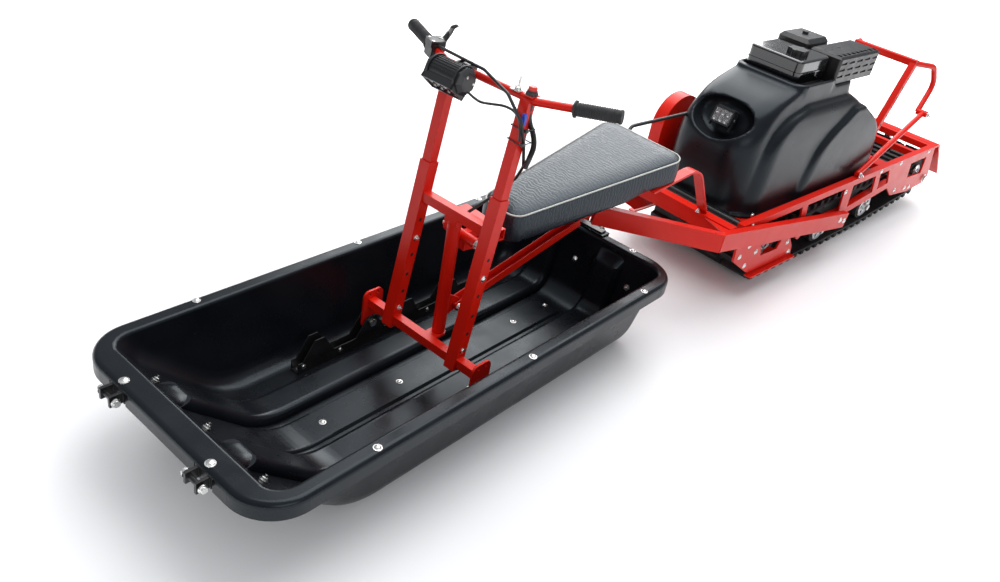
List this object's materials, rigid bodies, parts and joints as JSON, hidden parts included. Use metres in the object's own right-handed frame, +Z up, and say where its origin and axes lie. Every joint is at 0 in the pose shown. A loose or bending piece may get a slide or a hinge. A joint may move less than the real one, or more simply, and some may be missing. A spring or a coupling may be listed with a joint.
{
  "type": "articulated motorized snow tow with steering sled",
  "caption": "Tracked power unit with a seat pushes a cargo sled through a steering frame that turns on a kingpin.",
  "frame": {"origin": "on the ground, under the kingpin's axis, on the underside of the sled's middle keel", "axes": "+X forward along the tracked unit, +Y to its left, +Z up along the kingpin"},
  "size_m": [4.3608, 0.9338, 1.0308],
  "materials": {
    "red_paint": "glossy powder coat",
    "sled_plastic": "semi-gloss moulded polyethylene",
    "black_steel": "black powder coat",
    "zinc_steel": "zinc plated",
    "rubber": "moulded rubber",
    "black_plastic": "grained black",
    "lamp_body": "black anodised",
    "red_plastic": "gloss",
    "vinyl": "grained vinyl",
    "hood_plastic": "satin moulded shell",
    "engine_metal": "cast, dark",
    "tank_paint": "gloss black"
  },
  "bodies": {
    "tow": {"kingpin_tube": "red_paint", "seat_beam": "red_paint", "foot_brace": "red_paint", "hitch_arm_left": "red_paint", "hitch_arm_right": "red_paint", "cross_member": "red_paint", "elbow_gussets": "red_paint", "seat_loops": "red_paint", "seat_board": "black_plastic", "seat_cushion": "vinyl", "rear_conduit": "black_plastic", "track": "rubber", "wheel_tyres": "rubber", "wheel_axles": "zinc_steel", "suspension_rails": "black_steel", "side_frame_left": "red_paint", "side_frame_right": "red_paint", "front_bracket_left": "red_paint", "front_bracket_right": "red_paint", "engine_deck": "red_paint", "front_tube": "black_steel", "rear_frame": "red_paint", "rear_bumper": "red_paint", "hood": "hood_plastic", "hood_lamp": "lamp_body", "engine_block": "engine_metal", "fuel_tank": "tank_paint", "fuel_cap": "black_plastic", "air_box": "black_plastic", "muffler": "black_steel", "variator_guard": "red_paint", "rear_handle": "red_paint", "struts": "red_paint"},
    "steering": {"pitch_bolts": "zinc_steel", "cheek_plates": "red_paint", "steering_frame": "red_paint", "handlebar": "red_paint", "grips": "rubber", "throttle_housing": "black_plastic", "throttle_lever": "zinc_steel", "handlebar_lamp": "lamp_body", "toggle_switch": "zinc_steel", "stop_button": "red_plastic", "throttle_cable": "black_plastic", "kingpin_bolt": "zinc_steel"},
    "sled": {"sled_tub": "sled_plastic", "sled_keels": "sled_plastic", "sled_rail_left": "black_steel", "sled_rail_right": "black_steel", "sled_clevises": "black_steel", "sled_latch": "sled_plastic"}
  },
  "joints": [
    {"name": "steering", "type": "hinge", "parent": "tow", "child": "steering", "pos_m": [0, 0, 0.35], "axis": [0, 0, 1], "range_deg": [-43.2, 32.8]},
    {"name": "sled_pitch", "type": "hinge", "parent": "steering", "child": "sled", "pos_m": [0.07668, 0.00698, 0.095], "axis": [-0.0906, 0.9959, 0], "range_deg": [-12, 2.5]}
  ]
}
